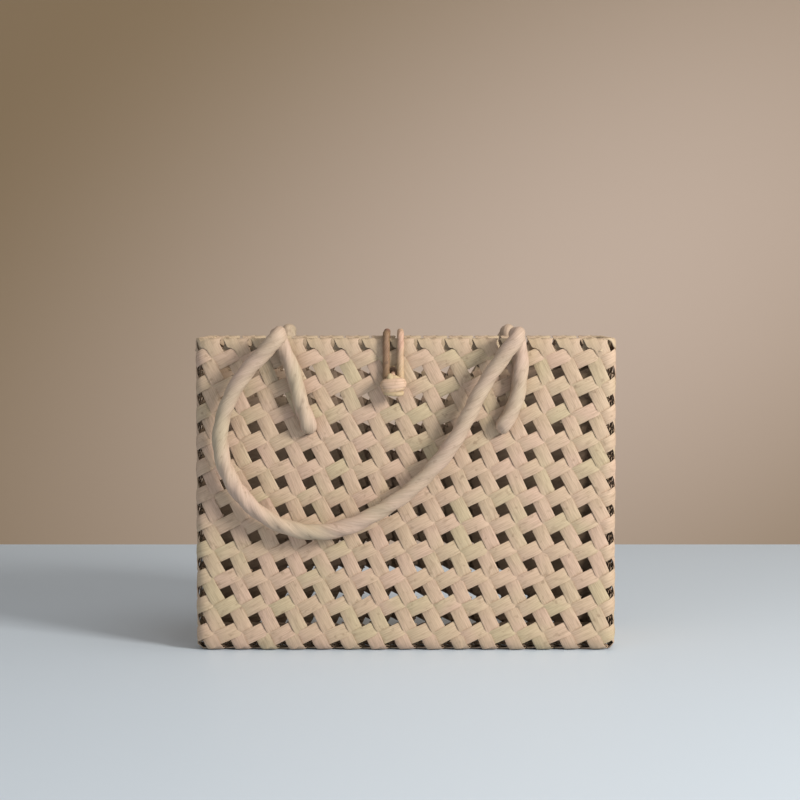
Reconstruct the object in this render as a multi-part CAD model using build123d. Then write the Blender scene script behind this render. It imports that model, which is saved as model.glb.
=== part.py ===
"""Basket box bag woven from flat leaf strips, with two rope handles and a loop-and-button closure.

Millimetres, +Z up. The origin is at the middle of the underside. X runs along the width and the front faces -Y.
Each strip is modelled as the flat band that it fills: the row strips lie outside, and the strips that come up
from the base lie inside them, face to face.
"""
from build123d import *
import math
import os

# Weave
KNOT_PITCH = 21.0
KNOTS_WIDE = 15
KNOTS_HIGH = 11
KNOTS_DEEP = 5
STRIP_WIDTH = 13.0
STRIP_THICKNESS = 3.0
RIM_RISE = 5.0  # top of the turned-over strip ends above the last line of holes
CORNER_RADIUS = 7.0  # outside of a row strip, where it goes round an upright corner
BASE_RADIUS = 3.9  # outside of an upright strip, where it turns from base to wall

# Clearance between pieces with curved faces
SEAT_GAP = 0.3

# Rope handles
ROPE_DIAMETER = 12.4
ROPE_NECK_DIAMETER = 7.0  # the rope pinched to pass through a hole of the weave
END_KNOT_DIAMETER = 16.0
HANDLE_HOLE_COLUMN = 3.5  # pitches from the middle to the hole that a handle end goes through
HANDLE_HOLE_ROWS_DOWN = 3  # rows of knots above that hole
FOLD_BELOW_RIM = 3.0  # the rope folds over about this far below the top of the rim

# Closure
CORD_DIAMETER = 5.5
EYE_GAP = 0.4  # round the button's tie, in the eye of the loop
CLOSURE_HOLE_COLUMN = -0.5
CLOSURE_HOLE_ROWS_DOWN = 1
CLOSURE_LEAN = 1.0  # the closure sits this far to the right of the middle of its hole
CORD_KNOT_DIAMETER = 14.0
CORD_NECK_DIAMETER = 6.0
CORD_SAG = 6.0  # of the loop between the two rims
RIM_BEND_RADIUS = 5.8
BUTTON_WIDTH = 20.0
BUTTON_HEIGHT = 14.0
BUTTON_DEPTH = 12.0
BUTTON_FLAT = 1.5  # cut from the back of the button, where its tie goes in
BUTTON_DROP = 9.5  # middle of the button below the middle of its hole
TIE_DIAMETER = 4.5
TIE_RISE = 2.0  # the tie meets the button this far above its middle
TIE_KNOT_DIAMETER = 11.0

# Sizes that follow
weave_width = KNOTS_WIDE * KNOT_PITCH
weave_depth = KNOTS_DEEP * KNOT_PITCH
rim_z = STRIP_THICKNESS + KNOTS_HIGH * KNOT_PITCH + RIM_RISE
wall_face_y = weave_depth / 2 + STRIP_THICKNESS
wall_back_y = weave_depth / 2 - STRIP_THICKNESS
rope_radius = ROPE_DIAMETER / 2
cord_radius = CORD_DIAMETER / 2
cord_spread = CORD_DIAMETER + TIE_DIAMETER + 2 * EYE_GAP  # between the two strands of the loop

# The end of each handle rises against the wall, and the loop folds forward of it about an axis along X
leg_y = wall_face_y + SEAT_GAP + rope_radius
fold_y = leg_y + rope_radius + SEAT_GAP / 2
fold_z = rim_z - FOLD_BELOW_RIM
handle_hole_x = HANDLE_HOLE_COLUMN * KNOT_PITCH
handle_hole_z = STRIP_THICKNESS + (KNOTS_HIGH - HANDLE_HOLE_ROWS_DOWN) * KNOT_PITCH

# Route of each handle end, from its hole to the fold: (outward from the hole in x, share of the height)
LEFT_END_ROUTE = [(0.0, 0.03), (2.5, 0.14), (7.5, 0.37), (11.5, 0.66), (18.0, 0.89), (24.0, 1.1)]
RIGHT_END_ROUTE = [(0.0, 0.03), (5.0, 0.15), (10.5, 0.33), (13.0, 0.62), (13.0, 0.86), (9.0, 1.1)]

# Route of a handle's loop between its two holes: (share of the way across, drop below the fold, distance
# nearer to the wall than at the fold), chosen by hand as the rope hangs
LOOP_ROUTE = [
    (-0.139, -6.0, 0.0),
    (-0.221, 7.0, 0.45),
    (-0.320, 22.0, 1.55),
    (-0.405, 42.0, 2.95),
    (-0.456, 65.0, 4.35),
    (-0.446, 88.0, 5.35),
    (-0.384, 109.0, 5.95),
    (-0.269, 128.0, 6.25),
    (-0.126, 140.0, 6.35),
    (0.037, 144.5, 6.25),
    (0.201, 140.0, 6.35),
    (0.350, 129.0, 6.25),
    (0.500, 115.0, 6.05),
    (0.622, 98.0, 5.75),
    (0.731, 79.0, 5.25),
    (0.813, 57.0, 4.35),
    (0.888, 34.0, 2.95),
    (0.963, 17.0, 1.45),
    (1.024, 5.0, 0.35),
    (1.078, -6.0, 0.0),
]

closure_x = CLOSURE_HOLE_COLUMN * KNOT_PITCH + CLOSURE_LEAN
closure_hole_z = STRIP_THICKNESS + (KNOTS_HIGH - CLOSURE_HOLE_ROWS_DOWN) * KNOT_PITCH
cord_y = wall_face_y + SEAT_GAP + cord_radius
cord_top_z = rim_z + SEAT_GAP + cord_radius
button_z = closure_hole_z - BUTTON_DROP
button_back_y = cord_y + cord_radius + SEAT_GAP
eye_z = button_z + TIE_RISE
closure_axis_y = cord_y + cord_radius + SEAT_GAP / 2
closure_axis_z = rim_z + SEAT_GAP / 2


def corner_radii(points):
    """Arc for each corner of a route, as large as its two runs allow."""
    radii = []
    for before, corner, after in zip(points, points[1:], points[2:]):
        first = corner - before
        second = after - corner
        half_turn = math.radians(first.get_angle(second)) / 2
        radii.append(0.45 * min(first.length, second.length) / math.tan(half_turn))
    return radii


def tube(points, radius, name, radii=None):
    """Round tube along straight runs joined by tangent arcs."""
    radii = radii or corner_radii(points)
    path = FilletPolyline(*points, radius=radii)
    section = Plane(origin=path @ 0, z_dir=path % 0) * Circle(radius)
    solid = sweep(section, path=path)
    expected = math.pi * radius**2 * path.length
    print(f"{name}: length {path.length:.0f}, smallest radius {min(radii):.0f}, "
          f"volume {solid.volume / expected:.3f} of section times length")
    return solid


def row_strip(row):
    """Strip that goes once round the walls, at one row of knots."""
    outer = RectangleRounded(weave_width + 2 * STRIP_THICKNESS, weave_depth + 2 * STRIP_THICKNESS, CORNER_RADIUS)
    inner = RectangleRounded(weave_width, weave_depth, CORNER_RADIUS - STRIP_THICKNESS)
    low_z = STRIP_THICKNESS + (row - 0.5) * KNOT_PITCH - STRIP_WIDTH / 2
    return Pos(0, 0, low_z) * extrude(outer - inner, STRIP_WIDTH)


def upright_strip(span, base_z):
    """Strip that comes down one wall, crosses under the base and goes up the far wall, in the XZ plane."""
    height = rim_z - base_z
    outer = Pos(0, height / 2) * Rectangle(span, height)
    outer = fillet(outer.vertices().group_by(Axis.Y)[0], BASE_RADIUS)
    inner = Pos(0, height / 2 + STRIP_THICKNESS) * Rectangle(span - 2 * STRIP_THICKNESS, height)
    inner = fillet(inner.vertices().group_by(Axis.Y)[0], BASE_RADIUS - STRIP_THICKNESS)
    profile = Plane.XZ * (outer - inner)
    return Pos(0, 0, base_z) * extrude(profile, STRIP_WIDTH / 2, both=True)


def front_back_strip(column):
    strip = upright_strip(weave_depth, 0)
    x = (column - (KNOTS_WIDE + 1) / 2) * KNOT_PITCH
    return Pos(x, 0, 0) * Rot(0, 0, 90) * strip


def side_strip(column):
    strip = upright_strip(weave_width, STRIP_THICKNESS)
    y = (column - (KNOTS_DEEP + 1) / 2) * KNOT_PITCH
    return Pos(0, y, 0) * strip


def below_fold(solid):
    """Cuts a rope off square at the height of the fold."""
    return split(solid, bisect_by=Plane.XY.offset(fold_z), keep=Keep.BOTTOM)


def handle_end(side, route, name):
    """End of a handle: a knot inside the wall, a neck through the hole, and the rope up to the fold."""
    rise = fold_z - handle_hole_z
    points = [Vector(side * (handle_hole_x + out), -leg_y, handle_hole_z + share * rise) for out, share in route]
    rope = below_fold(tube(points, rope_radius, name))
    heel = Pos(points[0].X, points[0].Y, points[0].Z) * Sphere(rope_radius)
    knot_y = -(wall_back_y - SEAT_GAP - END_KNOT_DIAMETER / 2)
    knot = Pos(side * handle_hole_x, knot_y, handle_hole_z) * Sphere(END_KNOT_DIAMETER / 2)
    neck_length = leg_y + knot_y
    neck = Pos(side * handle_hole_x, knot_y - neck_length / 2, handle_hole_z) * (
        Rot(90, 0, 0) * Cylinder(ROPE_NECK_DIAMETER / 2, neck_length))
    return rope + heel + neck + knot


def handle_loop(name):
    """The free part of a handle, hanging in front of the wall."""
    span = 2 * handle_hole_x
    points = [
        Vector(-handle_hole_x + (across * span), inset - (fold_y + rope_radius + SEAT_GAP / 2), fold_z - drop)
        for across, drop, inset in LOOP_ROUTE
    ]
    return below_fold(tube(points, rope_radius, name))


def closure_loop():
    """Two strands from the rear rim over the mouth of the bag, and down to the button."""
    strand = [
        (closure_axis_y, cord_top_z),
        (wall_back_y - 3, cord_top_z),
        (weave_depth / 4, cord_top_z - 0.7 * CORD_SAG),
        (0, cord_top_z - CORD_SAG),
        (-weave_depth / 4, cord_top_z - 0.7 * CORD_SAG),
        (-wall_back_y + 3, cord_top_z),
        (-cord_y, cord_top_z),
        (-cord_y, eye_z),
    ]
    left = closure_x - cord_spread / 2
    points = [Vector(left, y, z) for y, z in strand]
    radii = corner_radii(points)
    radii[-1] = RIM_BEND_RADIUS
    leg = tube(points, cord_radius, "closure_loop", radii)
    eye_plane = Plane(origin=(closure_x, -cord_y, eye_z), x_dir=(1, 0, 0), z_dir=(0, -1, 0))
    eye_path = eye_plane * CenterArc((0, 0), cord_spread / 2, 180, 180)
    eye = sweep(Plane(origin=eye_path @ 0, z_dir=eye_path % 0) * Circle(cord_radius), path=eye_path)
    other_leg = mirror(leg, about=Plane.YZ.offset(closure_x))
    return leg + eye + other_leg


def closure_anchor():
    """Fixed end of the loop: two strands down the outside of the rear wall, joined and knotted inside it."""
    eye_low_z = closure_hole_z + cord_spread / 2
    strand_height = rim_z - eye_low_z
    solid = Pos(closure_x - cord_spread / 2, cord_y, eye_low_z + strand_height / 2) * (
        Cylinder(cord_radius, strand_height))
    solid += Pos(closure_x + cord_spread / 2, cord_y, eye_low_z + strand_height / 2) * (
        Cylinder(cord_radius, strand_height))
    eye_plane = Plane(origin=(closure_x, cord_y, eye_low_z), x_dir=(1, 0, 0), z_dir=(0, -1, 0))
    eye_path = eye_plane * CenterArc((0, 0), cord_spread / 2, 180, 180)
    solid += sweep(Plane(origin=eye_path @ 0, z_dir=eye_path % 0) * Circle(cord_radius), path=eye_path)
    knot_y = wall_back_y - SEAT_GAP - CORD_KNOT_DIAMETER / 2
    neck_length = cord_y - knot_y
    solid += Pos(closure_x, knot_y + neck_length / 2, closure_hole_z) * (
        Rot(90, 0, 0) * Cylinder(CORD_NECK_DIAMETER / 2, neck_length))
    solid += Pos(closure_x, knot_y, closure_hole_z) * Sphere(CORD_KNOT_DIAMETER / 2)
    return solid


def button():
    """Flattened knot, with a flat back where its tie goes in."""
    ball = scale(Sphere(0.5), by=(BUTTON_WIDTH, BUTTON_DEPTH, BUTTON_HEIGHT))
    middle_y = -(button_back_y + BUTTON_DEPTH / 2 - BUTTON_FLAT)
    return split(
        Pos(closure_x, middle_y, button_z) * ball,
        bisect_by=Plane.XZ.offset(button_back_y),
        keep=Keep.TOP,
    )


def button_tie():
    """Cord from a knot inside the front wall, out through its hole, down, and out to the button."""
    tie_radius = TIE_DIAMETER / 2
    knot_y = -(wall_back_y - SEAT_GAP - TIE_KNOT_DIAMETER / 2)
    through_z = closure_hole_z - (KNOT_PITCH - STRIP_WIDTH) / 2 + SEAT_GAP + tie_radius
    knot = Pos(closure_x, knot_y, through_z) * Sphere(TIE_KNOT_DIAMETER / 2)
    through = Pos(closure_x, (knot_y - cord_y) / 2, through_z) * (
        Rot(90, 0, 0) * Cylinder(tie_radius, cord_y + knot_y))
    down = Pos(closure_x, -cord_y, (through_z + eye_z) / 2) * Cylinder(tie_radius, through_z - eye_z)
    out = Pos(closure_x, -(cord_y + button_back_y) / 2, eye_z) * (
        Rot(90, 0, 0) * Cylinder(tie_radius, button_back_y - cord_y))
    bends = [Pos(closure_x, -cord_y, z) * Sphere(tie_radius) for z in (through_z, eye_z)]
    return knot + through + down + out + bends


def build():
    """Every piece by its name."""
    pieces = {}
    for row in range(1, KNOTS_HIGH + 1):
        pieces[f"row_strip_{row:02d}"] = row_strip(row)
    for column in range(1, KNOTS_WIDE + 1):
        pieces[f"front_back_strip_{column:02d}"] = front_back_strip(column)
    for column in range(1, KNOTS_DEEP + 1):
        pieces[f"side_strip_{column:02d}"] = side_strip(column)
    pieces["front_handle_left_end"] = handle_end(-1, LEFT_END_ROUTE, "front_handle_left_end")
    pieces["front_handle_right_end"] = handle_end(1, RIGHT_END_ROUTE, "front_handle_right_end")
    pieces["front_handle_loop"] = handle_loop("front_handle_loop")
    for part in ("left_end", "right_end", "loop"):
        pieces[f"back_handle_{part}"] = mirror(pieces[f"front_handle_{part}"], about=Plane.XZ)
    pieces["closure_loop"] = closure_loop()
    pieces["closure_anchor"] = closure_anchor()
    pieces["button"] = button()
    pieces["button_tie"] = button_tie()
    return pieces


os.makedirs("parts", exist_ok=True)
for piece_name, piece in build().items():
    export_step(piece, f"parts/{piece_name}.step")
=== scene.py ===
"""Basket box bag woven from flat leaf strips, with two rope handles and a loop-and-button closure.

Metres, in the same frame as the CAD: +Z up, the front faces -Y, the origin is under the middle of the base.
The bag's own sizes are written in millimetres, and MM turns them to metres.
"""
import math
import random

import bpy
import numpy as np
from mathutils import Matrix, Vector


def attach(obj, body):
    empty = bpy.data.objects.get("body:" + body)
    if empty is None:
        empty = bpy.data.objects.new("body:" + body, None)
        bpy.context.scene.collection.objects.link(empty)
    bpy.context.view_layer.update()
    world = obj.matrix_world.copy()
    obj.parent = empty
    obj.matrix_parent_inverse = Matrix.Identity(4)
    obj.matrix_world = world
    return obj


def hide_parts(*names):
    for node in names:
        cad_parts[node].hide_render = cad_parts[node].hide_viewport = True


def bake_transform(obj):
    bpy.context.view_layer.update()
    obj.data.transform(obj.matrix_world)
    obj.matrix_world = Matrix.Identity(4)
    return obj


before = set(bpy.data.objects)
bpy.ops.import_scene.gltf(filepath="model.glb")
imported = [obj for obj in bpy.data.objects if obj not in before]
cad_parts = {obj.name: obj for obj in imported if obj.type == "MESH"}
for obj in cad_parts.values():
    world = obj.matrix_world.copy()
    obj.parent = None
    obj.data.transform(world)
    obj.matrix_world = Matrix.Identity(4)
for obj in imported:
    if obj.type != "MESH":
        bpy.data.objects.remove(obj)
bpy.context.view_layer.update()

MM = 0.001

# ---------------------------------------------------------------- sizes of the real bag, in millimetres
KNOT_PITCH = 21.0
KNOTS_WIDE = 15
KNOTS_HIGH = 11
KNOTS_DEEP = 5
HALF_WIDTH = KNOTS_WIDE * KNOT_PITCH / 2
HALF_DEPTH = KNOTS_DEEP * KNOT_PITCH / 2
SHELL_HALF = 3.0  # half the thickness of the woven wall
RIM_LINE = SHELL_HALF + KNOTS_HIGH * KNOT_PITCH  # last line of holes, where the strips turn over
RIM_LIFT = 2.2  # straight rise of a strip above that line, before it turns over
RIM_TOP = RIM_LINE + 5.0

BAND = KNOT_PITCH / math.sqrt(5)  # width of a strip on the face of a knot
SLANT = math.atan(0.5)  # each strip runs this much off square between two knots
WALL_BEND = 6.5  # middle radius of the upright corners
BASE_BEND = 5.5  # middle radius along the edge of the base
RIM_BEND = 2.4  # middle radius of a strip that turns over at the rim
CORNER_SWELL = 1.1  # a band stands off this much where it goes round a corner
ON_TABLE = 0.05  # nothing reaches lower than this, so that the bag rests on the table and not in it

SEAT_GAP = 0.3  # between round pieces that lie against each other
ROPE_DIAMETER = 12.4
HOLE_X = 3.5 * KNOT_PITCH  # holes that a handle's ends go through
HOLE_Z = RIM_LINE - 3 * KNOT_PITCH
ROPE_END_Y = HALF_DEPTH + SHELL_HALF + SEAT_GAP + ROPE_DIAMETER / 2  # a handle's ends lie against the wall
FOLD_Y = ROPE_END_Y + ROPE_DIAMETER / 2 + SEAT_GAP / 2  # the loop folds down about this line
FOLD_HEIGHT = RIM_TOP - 3.0
FOLD_CUT = FOLD_HEIGHT - 0.15  # just under the fold, so that a lifted handle stands clear of its ends
LOOP_Y = FOLD_Y + ROPE_DIAMETER / 2 + SEAT_GAP / 2  # the loop hangs in front of its ends

CORD_DIAMETER = 5.5
CLOSURE_X = 1.0 - 0.5 * KNOT_PITCH
CLOSURE_HOLE_Z = RIM_LINE - KNOT_PITCH
BUTTON_Z = CLOSURE_HOLE_Z - 9.5
BUTTON_Y = 66.1
BUTTON_WIDTH = 20.0


# ---------------------------------------------------------------- camera
CAMERA_PLACE = Vector((-0.0045, -1.555, 0.269))
CAMERA_AIM = Vector((-0.0045, -0.0555, 0.192))
CAMERA_LENS = 89.0
SENSOR_WIDTH = 36.0


def face_towards(obj, place, aim):
    """Turns a camera or a light, which look along their own -Z, from its place to what it aims at."""
    obj.rotation_euler = (Vector(aim) - Vector(place)).to_track_quat("-Z", "Y").to_euler()


def add_camera():
    """A little higher than the rim, looking slightly down at the front of the bag."""
    bpy.ops.object.camera_add(location=CAMERA_PLACE)
    camera = bpy.context.object
    camera.name = "camera"
    face_towards(camera, CAMERA_PLACE, CAMERA_AIM)
    camera.data.lens = CAMERA_LENS
    camera.data.sensor_width = SENSOR_WIDTH
    camera.data.dof.use_dof = False
    bpy.context.scene.camera = camera


add_camera()


# ---------------------------------------------------------------- materials
def linear(code):
    """sRGB hex colour as linear values for a shader socket."""
    channels = [int(code[i:i + 2], 16) / 255 for i in (1, 3, 5)]
    return [c / 12.92 if c <= 0.04045 else ((c + 0.055) / 1.055) ** 2.4 for c in channels] + [1.0]


def add(tree, kind, settings=None, values=None, links=None):
    """Adds a node with its settings, input values and incoming links."""
    made = tree.nodes.new(kind)
    for name, value in (settings or {}).items():
        setattr(made, name, value)
    for socket, value in (values or {}).items():
        made.inputs[socket].default_value = value
    for socket, source in (links or {}).items():
        tree.links.new(source, made.inputs[socket])
    return made


def new_material(name):
    material = bpy.data.materials.new(name)
    material.use_nodes = True
    material.node_tree.nodes.clear()
    return material


MIX_A, MIX_B, MIX_OUT = 6, 7, 2  # colour sockets of a Mix node
FROM_LOW, FROM_HIGH, TO_LOW, TO_HIGH = 1, 2, 3, 4  # sockets of a Map Range node

# Patterns on the leaf: their size along the strip and across it in metres, the detail and roughness of their
# noise, and where they start
AT_START = (0.0, 0.0, 0.0)
LEAF_PATTERNS = {
    "drift": (0.045, 0.05, 2.0, 0.5, AT_START),
    "tint": (0.09, 0.06, 1.0, 0.5, (3.1, 7.7, 0.0)),
    # veins about 0.7 mm apart, drawn a little coarser than the real 0.3 mm so that they show
    "veins": (0.016, 0.0007, 3.0, 0.6, AT_START),
    "creases": (0.012, 0.0035, 2.0, 0.5, AT_START),
    "spots": (0.00625, 0.00625, 3.0, 0.5, AT_START),
}
VEIN_HEIGHT = 0.0004
CREASE_HEIGHT = 0.0009
LEAF_IOR = 1.45
SHINE_DRIFT = 0.08  # the roughness wanders this much either way
# colour of the painted shade on bands that lie deep in the wall and on their inner side
SHADED_LEAF = "#6B5B4B"


def leaf_material(name, tan, pink, green, dark, roughness=0.62, fibre=0.45, woven=False):
    """Dried leaf, split into flat strips: a dull, slightly waxy skin with fine veins along the strip, and a
    tone that drifts from tan to pink or green from one length to the next. U runs along the strip and V
    across it, both in metres. A woven strip gets painted shade: it is painted darker where it lies deep in
    the wall, by its depth attribute."""
    material = new_material(name)
    tree = material.node_tree
    uv = add(tree, "ShaderNodeUVMap").outputs[0]
    seen = {}
    for pattern, (long, wide, detail, rough, start) in LEAF_PATTERNS.items():
        place = add(tree, "ShaderNodeMapping", values={"Location": start, "Scale": (1 / long, 1 / wide, 1)},
                    links={0: uv})
        noise = add(tree, "ShaderNodeTexNoise", values={"Scale": 1.0, "Detail": detail, "Roughness": rough},
                    links={0: place.outputs[0]})
        seen[pattern] = noise.outputs[0]

    # each tone: what brings it in, the values where it begins and is full, how much of it, and its colour
    tones = [(seen["drift"], 0.40, 0.62, 1.0, pink),
             (seen["tint"], 0.50, 0.68, 1.0, green),
             (seen["veins"], 0.42, 0.75, fibre, dark),
             (seen["creases"], 0.58, 0.74, 0.35, dark),
             (seen["spots"], 0.62, 0.72, 0.45, dark)]
    if woven:
        # painted shade: the lower a point of a woven strip lies in the wall, the darker it is painted, first
        # towards the dark leaf colour and then towards SHADED_LEAF
        depth = add(tree, "ShaderNodeAttribute", {"attribute_name": "depth"}).outputs["Fac"]
        tones += [(depth, 1.5, 0.0, 0.6, dark), (depth, 0.4, -0.8, 0.4, SHADED_LEAF)]
    colour = None
    for source, begins, full, most, tone in tones:
        share = add(tree, "ShaderNodeMapRange",
                    values={FROM_LOW: begins, FROM_HIGH: full, TO_LOW: 0.0, TO_HIGH: most}, links={0: source})
        links = {0: share.outputs[0]}
        if colour is not None:
            links[MIX_A] = colour
        mixed = add(tree, "ShaderNodeMix", {"data_type": "RGBA"},
                    {MIX_A: linear(tan), MIX_B: linear(tone)}, links)
        colour = mixed.outputs[MIX_OUT]

    veins = add(tree, "ShaderNodeBump", values={"Strength": 0.35, "Distance": VEIN_HEIGHT},
                links={"Height": seen["veins"]})
    creases = add(tree, "ShaderNodeBump", values={"Strength": 0.6, "Distance": CREASE_HEIGHT},
                  links={"Height": seen["creases"], "Normal": veins.outputs[0]})
    shine = add(tree, "ShaderNodeMapRange",
                values={FROM_LOW: 0.3, FROM_HIGH: 0.7, TO_LOW: roughness - SHINE_DRIFT,
                        TO_HIGH: roughness + SHINE_DRIFT},
                links={0: seen["drift"]})
    shader = add(tree, "ShaderNodeBsdfPrincipled", values={"IOR": LEAF_IOR, "Metallic": 0.0},
                 links={"Base Color": colour, "Roughness": shine.outputs[0], "Normal": creases.outputs[0]})
    add(tree, "ShaderNodeOutputMaterial", links={0: shader.outputs[0]})
    return material


# Twisted leaf is rougher than a flat strip and shows more of its veins, and the button's is rubbed a little
# smoother by the loop. The dark leaf is painted shade on the closure's left strand, the side away from the
# light.
STRIP_LEAF = leaf_material("dried leaf strip, split and woven", "#BDA68D", "#C1A692", "#B8A88A", "#7C6650",
                           woven=True)
ROPE_LEAF = leaf_material("dried leaf, wrapped into rope", "#B9A590", "#BDA595", "#B4A58D", "#84705D",
                          roughness=0.66, fibre=0.5)
SHADED_SIDE_CORD_LEAF = leaf_material("dried leaf in painted shade, twisted into cord", "#8E6E58", "#8A6457", "#84704F",
                               "#4A372B", roughness=0.7, fibre=0.55)
CORD_LEAF = leaf_material("dried leaf, twisted into cord", "#C2A78A", "#C4A08C", "#B7A37C", "#7A5D45",
                          roughness=0.7, fibre=0.55)
BUTTON_LEAF = leaf_material("dried leaf strip, knotted", "#C4A98A", "#C9AC95", "#B5A680", "#7C6248",
                            roughness=0.6, fibre=0.5)


# ---------------------------------------------------------------- common steps
def ease(value, start=0.0, end=1.0):
    """Goes smoothly from 0 at start to 1 at end, and stays there beyond them."""
    t = min(max((value - start) / (end - start), 0.0), 1.0)
    return t * t * (3 - 2 * t)


def only(*objects):
    """Selects these objects alone, the last one active."""
    bpy.ops.object.select_all(action="DESELECT")
    for obj in objects:
        obj.select_set(True)
    bpy.context.view_layer.objects.active = objects[-1]


def join(*objects):
    """Joins these objects into the last one."""
    only(*objects)
    bpy.ops.object.join()


def edit_all(obj):
    """Opens an object in edit mode with all of it selected."""
    only(obj)
    bpy.ops.object.mode_set(mode="EDIT")
    bpy.ops.mesh.select_all(action="SELECT")


def leave_edit():
    bpy.ops.object.mode_set(mode="OBJECT")


def apply_modifiers(obj):
    only(obj)
    for modifier in list(obj.modifiers):
        bpy.ops.object.modifier_apply(modifier=modifier.name)


def smooth(obj, angle):
    only(obj)
    bpy.ops.object.shade_smooth_by_angle(angle=math.radians(angle))


def points_of(mesh):
    flat = np.empty(len(mesh.vertices) * 3)
    mesh.vertices.foreach_get("co", flat)
    return flat.reshape(-1, 3)


def set_points(mesh, points):
    mesh.vertices.foreach_set("co", np.asarray(points, float).ravel())
    mesh.update()


def copy_of(obj, name):
    made = bpy.data.objects.new(name, obj.data.copy())
    bpy.context.collection.objects.link(made)
    return made


# ---------------------------------------------------------------- one knot of the weave
FACE_LINES = (0.0, 0.55, 0.93, 1.32)  # lines across a band on the face, in shares of BAND from its middle
EDGE_LINES = (0.0, 0.39, 0.5)  # lines along it, in shares of its width from its middle
FACE_WIDTH = 10.7  # the strip spreads a little beyond its share of the face
FACE_HEIGHT = 3.05  # skin of the band, from the middle of the wall
END_DIP = 0.95  # its ends dip this much where they go in under its neighbours
TAIL_DIP = 2.2  # and beyond there by this much more for each BAND of length
HOLE_SHARPNESS = 1.6  # how soon along its edge a neighbour gives way to a hole
HOLE_TILT = 0.3  # it leans by this much from a neighbour to a hole
EDGE_ROLL = 0.12  # its edges roll down this much
HOLE_ROLL = 0.75  # and this much more at a hole

BACK_BAND = 1.9  # length of a band on the back, in shares of BAND
BACK_WIDTH = 1.24  # its width, in shares of BAND, so that it shows in the corners of the holes
BACK_RISE = 1.6  # its ends rise this much, towards the face
BACK_ROLL = 0.35  # and its edges this much
ROW_BACK = -1.6  # height of the bands on the back: those of the rows lie outermost
SIDE_BACK = -2.1
UPRIGHT_BACK = -2.7

LEAF = 0.7  # thickness of a strip, two leaves laid together
INNER_LEAF_SHADE = -1.0  # the inner side of a band on the face gets the painted shade of the leaf at this height
STRIP_PER_KNOT = 0.041  # metres of strip that each knot takes up


def start_band(name, cells_long, cells_across):
    """Flat band two units each way, to be drawn out to its real size."""
    bpy.ops.object.select_all(action="DESELECT")
    bpy.ops.mesh.primitive_grid_add(x_subdivisions=cells_long, y_subdivisions=cells_across, size=2)
    band = bpy.context.object
    band.name = name
    return band


def line_of(share, lines):
    """Where an even line of the grid goes among uneven ones."""
    step = round(abs(share) * (len(lines) - 1))
    return math.copysign(lines[step], share)


def under_neighbour(along):
    """0 over the middle of a band on the face, and 1 where its end lies under a neighbour: along is in shares
    of BAND."""
    return ease(along, 0.45, 0.95)


def at_edge(across):
    """0 over most of a band on the face, and 1 at its two edges: across is in shares of its width."""
    return (abs(across) * 2) ** 4


def shape_face_band(band):
    """The band lies flat over its neighbours' ends, dips under them at its own, and rolls down at holes."""
    for vertex in band.data.vertices:
        along = line_of(vertex.co.x, FACE_LINES)
        across = line_of(vertex.co.y, EDGE_LINES)
        side = 1 if across > 0 else -1
        at_hole = ease(0.5 + HOLE_SHARPNESS * along * side)  # 1 beside a hole, 0 over a neighbour
        end = under_neighbour(abs(along))
        height = FACE_HEIGHT - END_DIP * end - TAIL_DIP * max(0.0, abs(along) - FACE_LINES[2])
        height += HOLE_TILT * (0.5 - at_hole) * abs(across) * 2 * (1 - end)
        height -= (EDGE_ROLL + HOLE_ROLL * at_hole) * at_edge(across)
        vertex.co.x = along * BAND * MM
        vertex.co.y = across * FACE_WIDTH * MM
        vertex.co.z = height * MM


def shape_back_band(band, height):
    """The band lies flat on the back, and its ends and edges rise towards the face."""
    for vertex in band.data.vertices:
        along, edge = abs(vertex.co.x), abs(vertex.co.y)
        vertex.co.x *= BACK_BAND / 2 * BAND * MM
        vertex.co.y *= BACK_WIDTH / 2 * BAND * MM
        vertex.co.z = (height + BACK_RISE * ease(along, 0.45, 1.0) + BACK_ROLL * edge**3) * MM


def finish_band(band, offset, turn, place, along_strip):
    """Gives the band its thickness, its grain and its depth in the wall, which its painted shade follows,
    then puts it in its place.
    """
    only(band)
    own = len(band.data.vertices)
    solid = band.modifiers.new("leaf", "SOLIDIFY")
    solid.thickness = LEAF * MM
    solid.offset = offset
    apply_modifiers(band)
    layer = band.data.uv_layers[0].data
    for loop in band.data.loops:
        co = band.data.vertices[loop.vertex_index].co
        layer[loop.index].uv = (along_strip + co.x, co.y)
    # the depth attribute sets the painted shade: each point's height, or INNER_LEAF_SHADE on the inner side
    # of a face band
    depth = band.data.attributes.new("depth", "FLOAT", "POINT")
    for vertex in band.data.vertices:
        inner_leaf = vertex.index >= own and offset < 0
        depth.data[vertex.index].value = INNER_LEAF_SHADE if inner_leaf else vertex.co.z / MM
    edit_all(band)
    bpy.ops.mesh.normals_make_consistent(inside=False)
    leave_edit()
    band.data.transform(Matrix.Translation(Vector(place) * MM) @ Matrix.Rotation(turn, 4, "Z"))


def knot_unit(name, back_height):
    """Half of a knot: the strip's band on the face, half a pitch on, and its diagonal band on the back."""
    face = start_band(name, 6, 4)
    shape_face_band(face)
    finish_band(face, -1, SLANT, (KNOT_PITCH / 2, 0, 0), STRIP_PER_KNOT / 2)
    back = start_band("back", 4, 2)
    shape_back_band(back, back_height)
    finish_band(back, 1, SLANT + math.radians(45), (0, 0, 0), 0)
    join(back, face)
    return face


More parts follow.
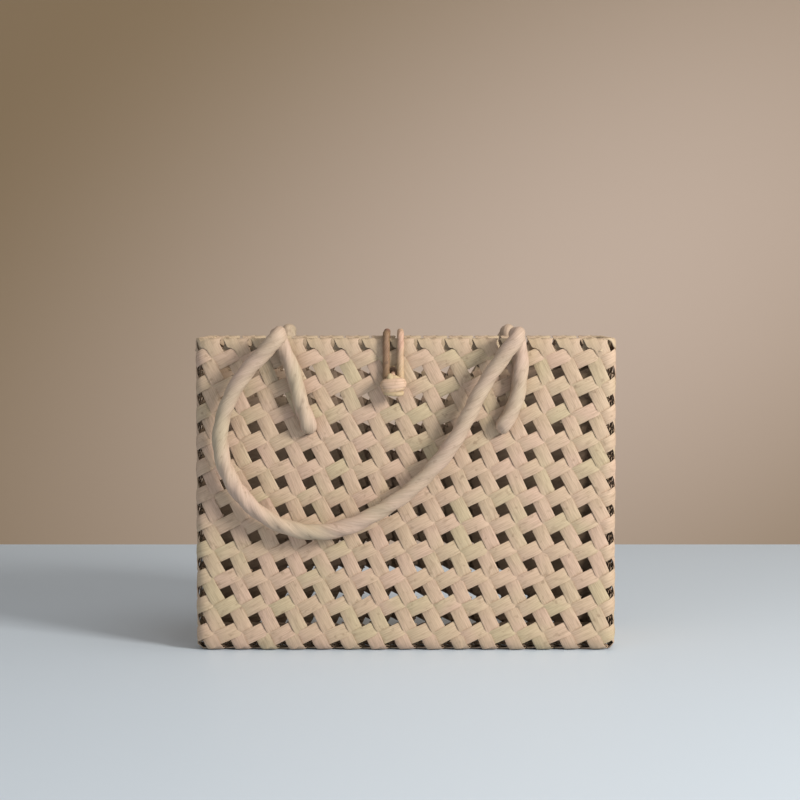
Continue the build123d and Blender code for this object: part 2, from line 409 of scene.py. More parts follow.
# The band that turns over the rim: the lines across it, in millimetres past the last line of holes
TURN_LINES = (-12.4, -8.7, -5.2, -2.0, 0.5, 2.0, 3.2, 4.4, 5.6, 6.8, 8.0, 9.2, 10.4, 12.5, 15.5, 18.5, 21.5)
TURN_WIDENS = (-1.2, 2.8)  # it widens between these
TURN_NARROWS = (10.0, 17.0)  # narrows again between these
TURN_TUCKS = (13.0, 19.0)  # and is tucked down behind the wall between these
TURN_SPREAD = 0.74  # share by which it is wider along the top of the rim
TURN_HEIGHT = 3.0  # skin of the band, from the middle of the wall
TURN_ROLL = 0.5  # its edges roll down this much
TUCK_DEPTH = 1.2
TURN_SHADE = 1.2  # the rim is out in the light, so its painted shade is nowhere darker than that of the leaf at this height


def rim_turn():
    """Band at the end of an upright strip: it spreads, turns over the rim and is tucked in behind."""
    band = start_band("rim_turn", len(TURN_LINES) - 1, 4)
    for vertex in band.data.vertices:
        past = TURN_LINES[round((vertex.co.x + 1) / 2 * (len(TURN_LINES) - 1))]
        across = line_of(vertex.co.y, EDGE_LINES)
        spread = 1 + TURN_SPREAD * ease(past, *TURN_WIDENS) * (1 - ease(past, *TURN_NARROWS))
        height = TURN_HEIGHT - END_DIP * under_neighbour(-past / BAND)
        height -= TURN_ROLL * at_edge(across) + TUCK_DEPTH * ease(past, *TURN_TUCKS)
        vertex.co.x = past * MM
        vertex.co.y = across * FACE_WIDTH * spread * MM
        vertex.co.z = height * MM
    finish_band(band, -1, SLANT, (0, 0, 0), 0)
    for depth in band.data.attributes["depth"].data:
        depth.value = max(depth.value, TURN_SHADE)
    return band


row_knot = knot_unit("row_knot", ROW_BACK)
upright_knot = knot_unit("upright_knot", UPRIGHT_BACK)
side_knot = knot_unit("side_knot", SIDE_BACK)
turn_at_rim = rim_turn()


# ---------------------------------------------------------------- strips laid round the bag
class Fold:
    """A line of flat sides with rounded corners, in a plane, along which a flat strip is laid."""

    def __init__(self, corners, radius, closed):
        self.corners = [np.array(c, float) for c in corners]
        self.radius = radius
        self.closed = closed
        ends = self.corners[1:] + ([self.corners[0]] if closed else [])
        lengths = [np.linalg.norm(b - a) for a, b in zip(self.corners, ends)]
        self.runs = [(b - a) / length for a, b, length in zip(self.corners, ends, lengths)]
        self.starts = np.cumsum([0] + lengths)
        self.length = self.starts[-1]

    @staticmethod
    def outward(run):
        return np.array((run[1], -run[0]))

    def corner(self, at, run, past, height):
        """Point near the corner at the end of a run, at a distance past it (or before it, if negative)."""
        turn = (past + self.radius) / (2 * self.radius) * math.pi / 2
        out = self.outward(run)
        centre = at - self.radius * run - self.radius * out
        if height > 0:
            height += CORNER_SWELL * math.sin(2 * turn) ** 2
        return centre + (self.radius + height) * (out * math.cos(turn) + run * math.sin(turn))

    def over_rim(self, at, up, out, past, height):
        """Point of a strip that passes the last line of holes and turns over the rim to the inside."""
        if past < RIM_LIFT:
            return at + up * past + out * height
        turn = (past - RIM_LIFT) / RIM_BEND
        centre = at + up * RIM_LIFT
        if turn < math.pi:
            return centre + height * (out * math.cos(turn) + up * math.sin(turn))
        return centre - out * height - up * (past - RIM_LIFT - math.pi * RIM_BEND)

    def lay(self, along, height):
        """Point at a distance along the line, at a height off it."""
        if self.closed:
            along %= self.length
        elif along < 0:
            return self.over_rim(self.corners[0], -self.runs[0], self.outward(self.runs[0]), -along, height)
        elif along > self.length:
            return self.over_rim(self.corners[-1], self.runs[-1], self.outward(self.runs[-1]),
                                 along - self.length, height)
        i = min(int(np.searchsorted(self.starts, along, side="right")) - 1, len(self.runs) - 1)
        past, left = along - self.starts[i], self.starts[i + 1] - along
        if past < self.radius and (i > 0 or self.closed):
            return self.corner(self.corners[i], self.runs[i - 1], past, height)
        if left < self.radius and (i + 1 < len(self.runs) or self.closed):
            following = self.corners[(i + 1) % len(self.corners)]
            return self.corner(following, self.runs[i], -left, height)
        return self.corners[i] + self.runs[i] * past + self.outward(self.runs[i]) * height


# How much one knot may differ from the next
KNOT_TWIST = 0.05  # radians, either way
KNOT_SPREAD = (0.975, 1.02)  # share of its even size
KNOT_SHIFT = 0.4  # millimetres, either way
KNOT_STAND = (-0.3, 0.15)  # millimetres, in and out of the face
GRAIN_START = (0, 30)  # metres along the leaf and across it, where a strip's pattern starts


def run_of_knots(unit, name, count, seed):
    """Row of knots along X, each a little different from the next."""
    strip = copy_of(unit, name)
    per_knot = len(strip.data.vertices)
    repeat = strip.modifiers.new("knots", "ARRAY")
    repeat.count = count
    repeat.use_relative_offset = False
    repeat.use_constant_offset = True
    repeat.constant_offset_displace = (KNOT_PITCH * MM, 0, 0)
    repeat.offset_u = STRIP_PER_KNOT
    apply_modifiers(strip)
    chance = random.Random(seed)
    points = points_of(strip.data) / MM
    for knot in range(count):
        part = points[knot * per_knot:(knot + 1) * per_knot]
        middle = np.array((knot * KNOT_PITCH + KNOT_PITCH / 2, 0.0))
        turn = chance.uniform(-KNOT_TWIST, KNOT_TWIST)
        flat = part[:, :2] - middle
        turned = np.column_stack((flat[:, 0] - turn * flat[:, 1], flat[:, 1] + turn * flat[:, 0]))
        part[:, :2] = middle + turned * chance.uniform(*KNOT_SPREAD)
        part[:, :2] += (chance.uniform(-KNOT_SHIFT, KNOT_SHIFT), chance.uniform(-KNOT_SHIFT, KNOT_SHIFT))
        on_face = part[:, 2] > 0
        part[on_face, 2] += chance.uniform(*KNOT_STAND)
    layer = strip.data.uv_layers[0].data
    grain = np.empty(len(layer) * 2)
    layer.foreach_get("uv", grain)
    grain = grain.reshape(-1, 2) + (chance.uniform(*GRAIN_START), chance.uniform(*GRAIN_START))
    layer.foreach_set("uv", grain.ravel())
    return strip, points


def finish_strip(strip, points, node):
    set_points(strip.data, np.asarray(points) * MM)
    strip.data.materials.clear()
    strip.data.materials.append(STRIP_LEAF)
    smooth(strip, 50)
    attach(strip, "basket")
    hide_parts(node)


def without_last_face(strip, points, per_knot):
    """The last knot's band on the face would lie over the rim, where the strip turns instead."""
    going = (np.arange(len(points)) >= len(points) - per_knot) & (points[:, 2] > 0)
    mesh = strip.data
    only(strip)
    for vertex in mesh.vertices:
        vertex.select = bool(going[vertex.index])
    for part in (*mesh.edges, *mesh.polygons):
        part.select = all(mesh.vertices[v].select for v in part.vertices)
    bpy.ops.object.mode_set(mode="EDIT")
    bpy.ops.mesh.select_mode(type="VERT")
    bpy.ops.mesh.delete(type="VERT")
    leave_edit()
    return points[~going]


def with_rim_turns(strip, points, length):
    """Adds the band that turns over the rim at each end of an upright strip."""
    set_points(strip.data, points * MM)
    turns = []
    for angle, at in ((math.pi, 0.0), (0.0, length)):
        turn = copy_of(turn_at_rim, "turn")
        turn.data.transform(Matrix.Translation((at * MM, 0, 0)) @ Matrix.Rotation(angle, 4, "Z"))
        turns.append(turn)
    join(*turns, strip)
    return points_of(strip.data) / MM


def weave_rows():
    """The rows, each a strip that goes once round the four walls."""
    wall_line = Fold([(-HALF_WIDTH, -HALF_DEPTH), (HALF_WIDTH, -HALF_DEPTH), (HALF_WIDTH, HALF_DEPTH),
                      (-HALF_WIDTH, HALF_DEPTH)], WALL_BEND, closed=True)
    knots_round = 2 * (KNOTS_WIDE + KNOTS_DEEP)
    for row in range(1, KNOTS_HIGH + 1):
        strip, flat = run_of_knots(row_knot, f"woven_row_{row:02d}", knots_round, row)
        middle = SHELL_HALF + (row - 0.5) * KNOT_PITCH
        laid = []
        for along, across, height in flat:
            x, y = wall_line.lay(along + KNOT_PITCH / 2, height)
            laid.append((x, y, middle + across))
        finish_strip(strip, laid, f"row_strip_{row:02d}")


def round_the_corner(beside, half_beside, out, z):
    """How far out an upright strip lies: next to a corner of the wall it follows the bend."""
    over = abs(beside) - (half_beside - WALL_BEND)
    if over <= 0 or z < SHELL_HALF + BASE_BEND:
        return out
    bend = WALL_BEND + SHELL_HALF
    return math.copysign(abs(out) - bend + math.sqrt(max(bend**2 - over**2, 0.0)), out)


def weave_uprights(unit, count_beside, half_span, knots_under, label, node, place):
    """Strips that go down one wall, under the base and up the wall across from it. place puts a point, given
    by how far it lies beside the middle strip, how far out and how high, into the bag's own frame."""
    line = Fold([(-half_span, RIM_LINE), (-half_span, SHELL_HALF), (half_span, SHELL_HALF),
                 (half_span, RIM_LINE)], BASE_BEND, closed=False)
    half_beside = count_beside * KNOT_PITCH / 2
    for column in range(1, count_beside + 1):
        middle = (column - (count_beside + 1) / 2) * KNOT_PITCH
        strip, flat = run_of_knots(unit, f"{label}_{column:02d}", 2 * KNOTS_HIGH + knots_under,
                                   100 * knots_under + column)
        flat = without_last_face(strip, flat, len(unit.data.vertices))
        flat[:, 0] += KNOT_PITCH / 2
        flat = with_rim_turns(strip, flat, line.length)
        laid = []
        for along, across, height in flat:
            out, z = line.lay(along, height)
            out = round_the_corner(middle + across, half_beside, out, z)
            laid.append(place(middle + across, out, max(z, ON_TABLE)))
        finish_strip(strip, laid, f"{node}_{column:02d}")


weave_rows()
weave_uprights(upright_knot, KNOTS_WIDE, HALF_DEPTH, KNOTS_DEEP, "woven_front_back", "front_back_strip",
               lambda beside, out, z: (beside, out, z))
weave_uprights(side_knot, KNOTS_DEEP, HALF_WIDTH, KNOTS_WIDE, "woven_side", "side_strip",
               lambda beside, out, z: (out, -beside, z))
for unit in (row_knot, upright_knot, side_knot, turn_at_rim):
    bpy.data.objects.remove(unit)


# ---------------------------------------------------------------- ropes and cords
def spline_line(points, resolution=10):
    """Points along the smooth line that the rope takes, with these as its control points, in millimetres."""
    curve = bpy.data.curves.new("route", "CURVE")
    curve.dimensions = "3D"
    curve.resolution_u = resolution
    spline = curve.splines.new("NURBS")
    spline.points.add(len(points) - 1)
    for target, point in zip(spline.points, points):
        target.co = (*[c * MM for c in point], 1)
    spline.order_u = 3
    spline.use_endpoint_u = True
    holder = bpy.data.objects.new("route", curve)
    mesh = bpy.data.meshes.new_from_object(holder)
    line = [v.co.copy() for v in mesh.vertices]
    bpy.data.objects.remove(holder)
    bpy.data.curves.remove(curve)
    bpy.data.meshes.remove(mesh)
    return line


def distances(line):
    """How far along the line each of its points lies."""
    found = [0.0]
    for a, b in zip(line, line[1:]):
        found.append(found[-1] + (b - a).length)
    return found


# A rope swells and thins by these shares of its radius, over these lengths in metres
SWELLS = ((0.03, 0.017), (0.02, 0.0071))
STRAND_ROUNDNESS = 1.5  # a strand is round on top, and this sharp where it meets the next one


def twist_strands(line, radius_at, strands, lay_length, depth, sides, chance):
    """Rings of points round the line, one after the other, shaped by strands that wind along it."""
    swells = [(share, length, chance.uniform(0, 6.28)) for share, length in SWELLS]
    along = distances(line)
    tangent = (line[1] - line[0]).normalized()
    side = tangent.orthogonal().normalized()
    vertices = []
    for i, (point, at) in enumerate(zip(line, along)):
        ahead = line[min(i + 1, len(line) - 1)] - line[max(i - 1, 0)]
        turned = tangent.rotation_difference(ahead.normalized())
        side = (turned @ side).normalized()
        tangent = ahead.normalized()
        up = tangent.cross(side)
        uneven = 1 + sum(share * math.sin(at / length + phase) for share, length, phase in swells)
        for k in range(sides):
            angle = 2 * math.pi * k / sides
            ridge = abs(math.cos(strands / 2 * (angle - 2 * math.pi * at / lay_length)))
            radius = radius_at(at, along[-1]) * uneven * (1 - depth * (1 - ridge) ** STRAND_ROUNDNESS)
            vertices.append(point + radius * (side * math.cos(angle) + up * math.sin(angle)))
    return vertices


def wind_grain(mesh, line, girth, lay_length, sides, seed):
    """UVs of a rope: the leaf is wound on at a slant, so its grain crosses the rope's line."""
    along = distances(line)
    layer = mesh.uv_layers.new(name="UVMap").data
    for polygon in mesh.polygons:
        spans_seam = any(mesh.loops[j].vertex_index % sides == sides - 1 for j in polygon.loop_indices)
        for loop in polygon.loop_indices:
            ring, k = divmod(mesh.loops[loop].vertex_index, sides)
            if k == 0 and spans_seam:
                k = sides
            across = (k / sides - along[ring] / lay_length) * girth
            layer[loop].uv = (along[ring] + seed, across)


def twisted_rope(name, line, radius_at, strands, lay_length, depth, sides=18, seed=1):
    """Closed rope along a line: strands twisted together, each showing as a low ridge. radius_at gives the
    radius from the distance along the line and the line's whole length."""
    vertices = twist_strands(line, radius_at, strands, lay_length, depth, sides, random.Random(seed))
    faces = []
    for i in range(len(line) - 1):
        for k in range(sides):
            n = (k + 1) % sides
            faces.append((i * sides + k, i * sides + n, (i + 1) * sides + n, (i + 1) * sides + k))
    last = (len(line) - 1) * sides
    faces.append(tuple(reversed(range(sides))))
    faces.append(tuple(last + k for k in range(sides)))
    mesh = bpy.data.meshes.new(name)
    mesh.from_pydata(vertices, [], faces)
    whole = distances(line)[-1]
    wind_grain(mesh, line, 2 * math.pi * radius_at(whole / 2, whole), lay_length, sides, seed)
    rope = bpy.data.objects.new(name, mesh)
    bpy.context.collection.objects.link(rope)
    return rope


def cut_at(obj, name, point, normal):
    """A copy of a closed piece with what lies beyond the plane cut off and the cut closed."""
    part = copy_of(obj, name)
    edit_all(part)
    bpy.ops.mesh.bisect(plane_co=point, plane_no=normal, use_fill=True, clear_outer=True)
    leave_edit()
    return part


def loose_parts(obj):
    edit_all(obj)
    bpy.ops.mesh.separate(type="LOOSE")
    leave_edit()
    return list(bpy.context.selected_objects)


def middle_of(obj):
    points = points_of(obj.data)
    return (points.min(axis=0) + points.max(axis=0)) / 2


def add_turn(place, rotation, segments, radius, thickness, length, girth, start):
    """One turn of a knot. Its grain runs round it, over this length and girth of leaf in metres."""
    bpy.ops.object.select_all(action="DESELECT")
    bpy.ops.mesh.primitive_torus_add(location=place, rotation=rotation, major_segments=segments,
                                     minor_segments=10, major_radius=radius, minor_radius=thickness)
    turn = bpy.context.object
    bpy.ops.object.transform_apply(location=True, rotation=True, scale=True)
    for loop in turn.data.uv_layers[0].data:
        loop.uv = (loop.uv[0] * length + start, loop.uv[1] * girth)
    return turn


# The three turns of a rope's knot: how each is tilted, in radians, by how much that may change either way,
# and its sizes as shares of the knot's size
ROPE_KNOT_TILTS = ((0.2, 0.3, 0.0), (1.45, 0.2, 0.7), (0.4, 1.35, 0.3))
ROPE_KNOT_CHANGE = 0.15
ROPE_KNOT_RADIUS = 0.27
ROPE_KNOT_THICKNESS = 0.23
ROPE_KNOT_LENGTH = 1.7
ROPE_KNOT_GIRTH = 1.4


def knot_of_rope(centre, size, seed):
    """Tight round knot: three turns of the rope crossing over one another."""
    chance = random.Random(seed)
    turns = []
    for tilt in ROPE_KNOT_TILTS:
        rotation = [t + chance.uniform(-ROPE_KNOT_CHANGE, ROPE_KNOT_CHANGE) for t in tilt]
        turns.append(add_turn(Vector(centre) * MM, rotation, 20, size * ROPE_KNOT_RADIUS * MM,
                              size * ROPE_KNOT_THICKNESS * MM, size * ROPE_KNOT_LENGTH * MM,
                              size * ROPE_KNOT_GIRTH * MM, seed))
    join(*turns)
    return bpy.context.object


def finish_rope(part, material):
    part.data.materials.clear()
    part.data.materials.append(material)
    smooth(part, 60)


# ---------------------------------------------------------------- handles
# Route of each handle end, from its hole to the fold: (outward from the hole in x, share of the height)
LEFT_END = [(0.0, 0.03), (2.5, 0.14), (7.5, 0.37), (11.5, 0.66), (18.0, 0.89), (24.0, 1.1)]
RIGHT_END = [(0.0, 0.03), (5.0, 0.15), (10.5, 0.33), (13.0, 0.62), (13.0, 0.86), (9.0, 1.1)]
# Route of the loop between the holes: (share of the way across, drop below the fold, distance nearer to the
# wall)
LOOP_ROUTE = [
    (-0.139, -6.0, 0.0), (-0.221, 7.0, 0.45), (-0.320, 22.0, 1.55), (-0.405, 42.0, 2.95),
    (-0.456, 65.0, 4.35), (-0.446, 88.0, 5.35), (-0.384, 109.0, 5.95), (-0.269, 128.0, 6.25),
    (-0.126, 140.0, 6.35), (0.037, 144.5, 6.25), (0.201, 140.0, 6.35), (0.350, 129.0, 6.25),
    (0.500, 115.0, 6.05), (0.622, 98.0, 5.75), (0.731, 79.0, 5.25), (0.813, 57.0, 4.35),
    (0.888, 34.0, 2.95), (0.963, 17.0, 1.45), (1.024, 5.0, 0.35), (1.078, -6.0, 0.0),
]
# Route inside the bag, from the knot to the hole: (distance from the middle of the bag, height)
INSIDE_ROUTE = [(41.2, HOLE_Z), (49.0, HOLE_Z), (57.0, HOLE_Z - 0.4)]
END_KNOT = 16.5
NECK_RADIUS = 3.4  # the rope is pinched to this where it passes through its hole
NECK_WIDENS = (9, 21)  # and widens between these distances from its end
HANDLE_LAY = 0.062  # metres of rope in which a strand goes once round
HANDLE_STRAND_DEPTH = 0.17  # share of the radius


def handle_route():
    """From the left knot inside the front wall to the right one, by way of the folds and the hanging loop."""
    rise = FOLD_HEIGHT - HOLE_Z
    left = [(-(HOLE_X + out), -ROPE_END_Y, HOLE_Z + share * rise) for out, share in LEFT_END]
    right = [(HOLE_X + out, -ROPE_END_Y, HOLE_Z + share * rise) for out, share in RIGHT_END]
    loop = [(-HOLE_X + across * 2 * HOLE_X, inset - LOOP_Y, FOLD_HEIGHT - drop)
            for across, drop, inset in LOOP_ROUTE]
    start = [(-HOLE_X, -y, z) for y, z in INSIDE_ROUTE]
    end = [(HOLE_X, -y, z) for y, z in reversed(INSIDE_ROUTE)]
    return start + left + loop + right[::-1] + end


def handle_radius(at, total):
    """Full size outside the bag, pinched where the rope passes through its hole."""
    from_end = min(at, total - at) / MM
    return (NECK_RADIUS + (ROPE_DIAMETER / 2 - NECK_RADIUS) * ease(from_end, *NECK_WIDENS)) * MM


def finish_handle_end(part, label, side, knot_place, seed):
    """An end lies against the wall and goes through its hole to a knot inside."""
    knot = knot_of_rope(knot_place, END_KNOT, seed)
    join(knot, part)
    part.name = f"{label}_{side}_end_rope"
    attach(part, "basket")
    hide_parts(f"{label}_{side}_end")


def finish_hanging_rope(part, label):
    part.name = f"{label}_hanging_rope"
    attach(part, label)
    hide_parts(f"{label}_loop")


def make_handle(label, front_or_back):
    """A handle on the front, at -1, or on the back, at 1: one rope, parted at its folds."""
    line = [Vector((p.x, -front_or_back * p.y, p.z)) for p in spline_line(handle_route())]
    rope = twisted_rope(f"{label}_rope", line, handle_radius, strands=3, lay_length=HANDLE_LAY,
                        depth=HANDLE_STRAND_DEPTH, seed=1 if front_or_back < 0 else 2)
    cut = (0, 0, FOLD_CUT * MM)
    hanging = loose_parts(cut_at(rope, f"{label}_hanging", cut, (0, 0, 1)))
    folds = loose_parts(cut_at(rope, f"{label}_fold", cut, (0, 0, -1)))
    bpy.data.objects.remove(rope)
    for part in hanging:
        x = middle_of(part)[0]
        if part.dimensions.x > HOLE_X * MM:  # only the loop is as wide as this
            finish_hanging_rope(part, label)
        else:
            knot_place = (math.copysign(HOLE_X, x), front_or_back * INSIDE_ROUTE[0][0], HOLE_Z)
            finish_handle_end(part, label, "left" if x < 0 else "right", knot_place, 7 if x < 0 else 8)
        finish_rope(part, ROPE_LEAF)
    for part in folds:
        x = middle_of(part)[0]
        part.name = f"{label}_{'left' if x < 0 else 'right'}_fold"
        finish_rope(part, ROPE_LEAF)
        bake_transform(part)


make_handle("front_handle", -1)
make_handle("back_handle", 1)


# ---------------------------------------------------------------- closure
TIE_DIAMETER = 4.5
CORD_Y = HALF_DEPTH + SHELL_HALF + SEAT_GAP + CORD_DIAMETER / 2  # the cord hangs against the wall
CORD_SPREAD = CORD_DIAMETER + TIE_DIAMETER + 2 * 0.4  # between the two strands, which pass the button's tie
EYE_Z = BUTTON_Z + 2.0
ANCHOR_EYE_Z = 218.4
CLOSURE_CUT_Y = 50.0  # the part in front of this swings with the loop
CLOSURE_CUT_Z = RIM_TOP - 3.0  # the part below this stays on the rear wall
CLOSURE_LAY = 0.024  # metres of cord in which a strand goes once round
SHORT_CORD_LAY = 0.02
CORD_STRAND_DEPTH = 0.16  # share of the radius
ANCHOR_NECK_RADIUS = 2.9
ANCHOR_KNOT = 14.0
ANCHOR_KNOT_Y = 42.2
TIE_RADIUS = 2.2
TIE_Z = 211.55  # where the tie passes through the weave
TIE_KNOT = 11.0
TIE_KNOT_Y = -43.7

# One strand from the rear wall, over both rims, to the eye in front: (y, z)
STRAND_ROUTE = [
    (CORD_Y, 229.0), (CORD_Y, 237.0), (57.5, 242.3), (46.5, 242.05), (26.25, 237.85), (0, 236.05),
    (-26.25, 237.85), (-46.5, 242.05), (-57.8, 242.6), (-CORD_Y, 236.5), (-CORD_Y, 222.0), (-CORD_Y, EYE_Z),
]
# The anchor's neck, from the knot inside the rear wall, and the button's tie, from the knot inside the front
# wall to the button: (y, z)
NECK_ROUTE = [(41.0, CLOSURE_HOLE_Z), (48.0, CLOSURE_HOLE_Z), (56.0, CLOSURE_HOLE_Z), (60.0, 213.3)]
TIE_ROUTE = [(-43.0, TIE_Z), (-50.0, TIE_Z), (-58.2, 211.8), (-58.8, 205.2), (-64.0, 205.0)]


def half_ring(y, z):
    """Control points for half a turn below z, from the left strand to the right: corners of an octagon."""
    radius = CORD_SPREAD / 2
    inner = radius * math.tan(math.pi / 8)
    return [(-radius, y, z - inner), (-inner, y, z - radius), (inner, y, z - radius), (radius, y, z - inner)]


def closure_route():
    """From the bottom of the rear eye, over both rims, round the button's tie and back."""
    half = CORD_SPREAD / 2
    rear = half_ring(CORD_Y, ANCHOR_EYE_Z)
    out = [(-half, y, z) for y, z in STRAND_ROUTE]
    back = [(half, y, z) for y, z in reversed(STRAND_ROUTE)]
    points = [rear[1], rear[0], *out, *half_ring(-CORD_Y, EYE_Z), *back, rear[3], rear[2]]
    return [(CLOSURE_X + x, y, z) for x, y, z in points]


def even_radius(radius):
    return lambda at, total: radius * MM


def paint_left_strand_shade(part):
    """Paints shade on the left strand: it is darker than the right one, as the side away from the light."""
    part.data.materials.append(SHADED_SIDE_CORD_LEAF)
    for polygon in part.data.polygons:
        polygon.material_index = 1 if polygon.center.x < CLOSURE_X * MM else 0


def short_cord(name, route, radius, seed):
    line = spline_line([(CLOSURE_X, y, z) for y, z in route])
    return twisted_rope(name, line, even_radius(radius), strands=2, lay_length=SHORT_CORD_LAY,
                        depth=CORD_STRAND_DEPTH, sides=12, seed=seed)


def make_closure():
    """One cord, parted where it bends over the rear rim: the anchor, the bend and the loop that swings."""
    line = spline_line(closure_route(), resolution=8)
    cord = twisted_rope("closure", line, even_radius(CORD_DIAMETER / 2), strands=2, lay_length=CLOSURE_LAY,
                        depth=CORD_STRAND_DEPTH, sides=14, seed=5)
    cut_y = (0, CLOSURE_CUT_Y * MM, 0)
    cut_z = (0, 0, CLOSURE_CUT_Z * MM)
    loop = cut_at(cord, "closure_loop_cord", cut_y, (0, 1, 0))
    rear = cut_at(cord, "closure_rear", cut_y, (0, -1, 0))
    anchor = cut_at(rear, "closure_anchor_cord", cut_z, (0, 0, 1))
    bend = cut_at(rear, "closure_rim_bend", cut_z, (0, 0, -1))
    for part in (cord, rear):
        bpy.data.objects.remove(part)
    neck = short_cord("neck", NECK_ROUTE, ANCHOR_NECK_RADIUS, 11)
    knot = knot_of_rope((CLOSURE_X, ANCHOR_KNOT_Y, CLOSURE_HOLE_Z), ANCHOR_KNOT, 12)
    join(neck, knot, anchor)
    for part in (loop, anchor, bend):
        finish_rope(part, CORD_LEAF)
        paint_left_strand_shade(part)
    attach(loop, "closure")
    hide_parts("closure_loop")
    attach(anchor, "basket")
    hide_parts("closure_anchor")
    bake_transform(bend)


# The turns of leaf strip in the button: height from its middle, how wide as a share of the button, thickness,
# tilt sideways and tilt forwards in radians
BUTTON_TURNS = ((-5.5, 0.66, 2.1, 0.05, 0.1), (0.7, 0.58, 5.0, -0.08, 0.0), (-2.6, 0.78, 2.0, -0.12, 0.05),
                (1.2, 0.62, 2.6, 1.15, 0.15))
WRAP_LENGTH, WRAP_GIRTH = 0.05, 0.016  # metres of leaf that a turn shows, round it and across it
BUTTON_HEART = 8.2  # radius of what the turns are wrapped round
HEART_LENGTH, HEART_GIRTH = 0.04, 0.02  # metres of leaf that it shows
BUTTON_PRESS = (0.93, 12.0 / 21.4, 0.98)  # the knot is pressed flat, to about 12 mm front to back


def make_button():
    """Flattened knot of leaf strip: level turns across the face, and one that holds them on the slant."""
    middle = Vector((CLOSURE_X, -BUTTON_Y, BUTTON_Z)) * MM
    turns = []
    for number, (height, share, thickness, tilt, lean) in enumerate(BUTTON_TURNS):
        turns.append(add_turn(middle + Vector((0, 0, height * MM)), (lean, tilt, 0), 28,
                              BUTTON_WIDTH / 2 * share * MM, thickness * MM, WRAP_LENGTH, WRAP_GIRTH, number))
    bpy.ops.object.select_all(action="DESELECT")
    bpy.ops.mesh.primitive_uv_sphere_add(segments=20, ring_count=12, radius=BUTTON_HEART * MM,
                                         location=middle)
    heart = bpy.context.object
    bpy.ops.object.transform_apply(location=True, rotation=True, scale=True)
    for loop in heart.data.uv_layers[0].data:
        loop.uv = (loop.uv[0] * HEART_LENGTH, loop.uv[1] * HEART_GIRTH)
    join(*turns, heart)
    heart.name = "knotted_button"
    edit_all(heart)
    bpy.ops.transform.resize(value=BUTTON_PRESS, center_override=middle)
    leave_edit()
    finish_rope(heart, BUTTON_LEAF)
    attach(heart, "basket")
    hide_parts("button")


def make_button_tie():
    """Thin cord from the button through the weave to its knot inside the front wall."""
    tie = short_cord("button_tie_cord", TIE_ROUTE, TIE_RADIUS, 21)
    knot = knot_of_rope((CLOSURE_X, TIE_KNOT_Y, TIE_Z), TIE_KNOT, 22)
    join(knot, tie)
    finish_rope(tie, CORD_LEAF)
    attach(tie, "basket")
    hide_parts("button_tie")


make_closure()
make_button()
make_button_tie()

# ---------------------------------------------------------------- surroundings
TABLE_WIDTH = 6.0
TABLE_FRONT_Y = -4.0
TABLE_EDGE_Y = 0.60
TABLE_ROUGHNESS = 0.5
WALL_SIZE = (9.0, 6.0)
WALL_PLACE = (0, 2.6, 0.5)
WALL_ROUGHNESS = 0.9
# The painted pool of light on the wall, a pale patch: its offset and slant, how much longer it is than wide,
# and how far it reaches
LIGHT_POOL_PLACE = (-0.239, 0.427, 0)
LIGHT_POOL_SLANT = math.radians(-30)
LIGHT_POOL_STRETCH = 1.9
LIGHT_POOL_REACH = 1.15


def plain_surface(name, roughness):
    """Surface that is equally rough all over, still without its colour."""
    material = new_material(name)
    tree = material.node_tree
    shader = add(tree, "ShaderNodeBsdfPrincipled", values={"Roughness": roughness})
    add(tree, "ShaderNodeOutputMaterial", links={0: shader.outputs[0]})
    return material, tree, shader


def pale_table():
    """Smooth lacquered board: pale, with a faint soft sheen."""
    material, _, shader = plain_surface("pale table", TABLE_ROUGHNESS)
    shader.inputs["Base Color"].default_value = linear("#CAD8E6")
    return material


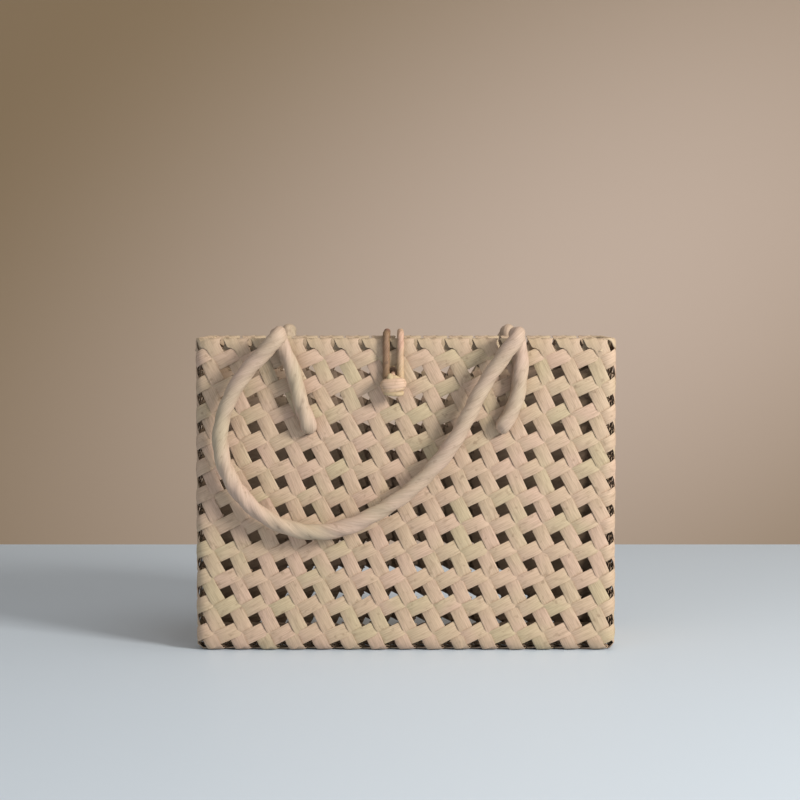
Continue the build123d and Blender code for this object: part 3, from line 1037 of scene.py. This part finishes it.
def painted_wall():
    """Matt paint with painted light: paler in a broad patch to the right of the bag that fades out on the
    slant, standing in for a pool of light.
    """
    material, tree, shader = plain_surface("matt wall paint", WALL_ROUGHNESS)
    place = add(tree, "ShaderNodeTexCoord").outputs["Object"]
    along = add(tree, "ShaderNodeMapping",
                values={"Scale": (*WALL_SIZE, 1), "Rotation": (0, 0, LIGHT_POOL_SLANT), "Location": LIGHT_POOL_PLACE},
                links={0: place})
    patch = add(tree, "ShaderNodeMapping", values={"Scale": (1 / LIGHT_POOL_STRETCH, 1, 1)},
                links={0: along.outputs[0]})
    away = add(tree, "ShaderNodeVectorMath", {"operation": "LENGTH"}, links={0: patch.outputs[0]})
    # painted light: the wall is painted paler towards the middle of the patch and darker away from it, as
    # light and shade would fall
    pale = add(tree, "ShaderNodeMapRange", {"interpolation_type": "SMOOTHSTEP"},
               {FROM_LOW: LIGHT_POOL_REACH, FROM_HIGH: 0.0, TO_LOW: 0.0, TO_HIGH: 1.0}, {0: away.outputs["Value"]})
    colour = add(tree, "ShaderNodeMix", {"data_type": "RGBA"},
                 {MIX_A: linear("#9D886C"), MIX_B: linear("#E3D0C2")}, {0: pale.outputs[0]})
    tree.links.new(colour.outputs[MIX_OUT], shader.inputs["Base Color"])
    return material


def add_backdrop(name, size, place, rotation, material):
    bpy.ops.mesh.primitive_plane_add(size=1, location=place, rotation=rotation)
    plane = bpy.context.object
    plane.name = name
    plane.scale = (*size, 1)
    plane.data.materials.append(material)


def add_area_light(name, place, aim, size, power, colour):
    bpy.ops.object.light_add(type="AREA", location=place)
    light = bpy.context.object
    light.name = name
    light.data.shape = "SQUARE"
    light.data.size = size
    light.data.energy = power
    light.data.color = linear(colour)[:3]
    face_towards(light, place, aim)


def add_room_light(colour, strength):
    """Even light from all round."""
    world = bpy.context.scene.world or bpy.data.worlds.new("studio")
    bpy.context.scene.world = world
    world.use_nodes = True
    world.node_tree.nodes.clear()
    sky = add(world.node_tree, "ShaderNodeBackground", values={"Color": linear(colour), "Strength": strength})
    add(world.node_tree, "ShaderNodeOutputWorld", links={0: sky.outputs[0]})


add_backdrop("table", (TABLE_WIDTH, TABLE_EDGE_Y - TABLE_FRONT_Y),
             (0, (TABLE_EDGE_Y + TABLE_FRONT_Y) / 2, 0), (0, 0, 0), pale_table())
add_backdrop("wall", WALL_SIZE, WALL_PLACE, (math.radians(90), 0, 0), painted_wall())

# name, place, what it aims at, size in metres, power in watts, colour
add_area_light("window", (1.7, -1.45, 1.05), (0, 0, 0.10), 0.65, 63, "#FFF8EF")
add_area_light("room", (-1.6, -1.9, 0.9), (0, 0, 0.12), 1.8, 8, "#EEF2FF")
add_area_light("above", (0.5, -0.5, 2.1), (0, 0, 0.1), 1.2, 9, "#FFFAF4")
add_room_light("#E8E4DE", 0.42)
bpy.context.scene.view_settings.view_transform = "Standard"
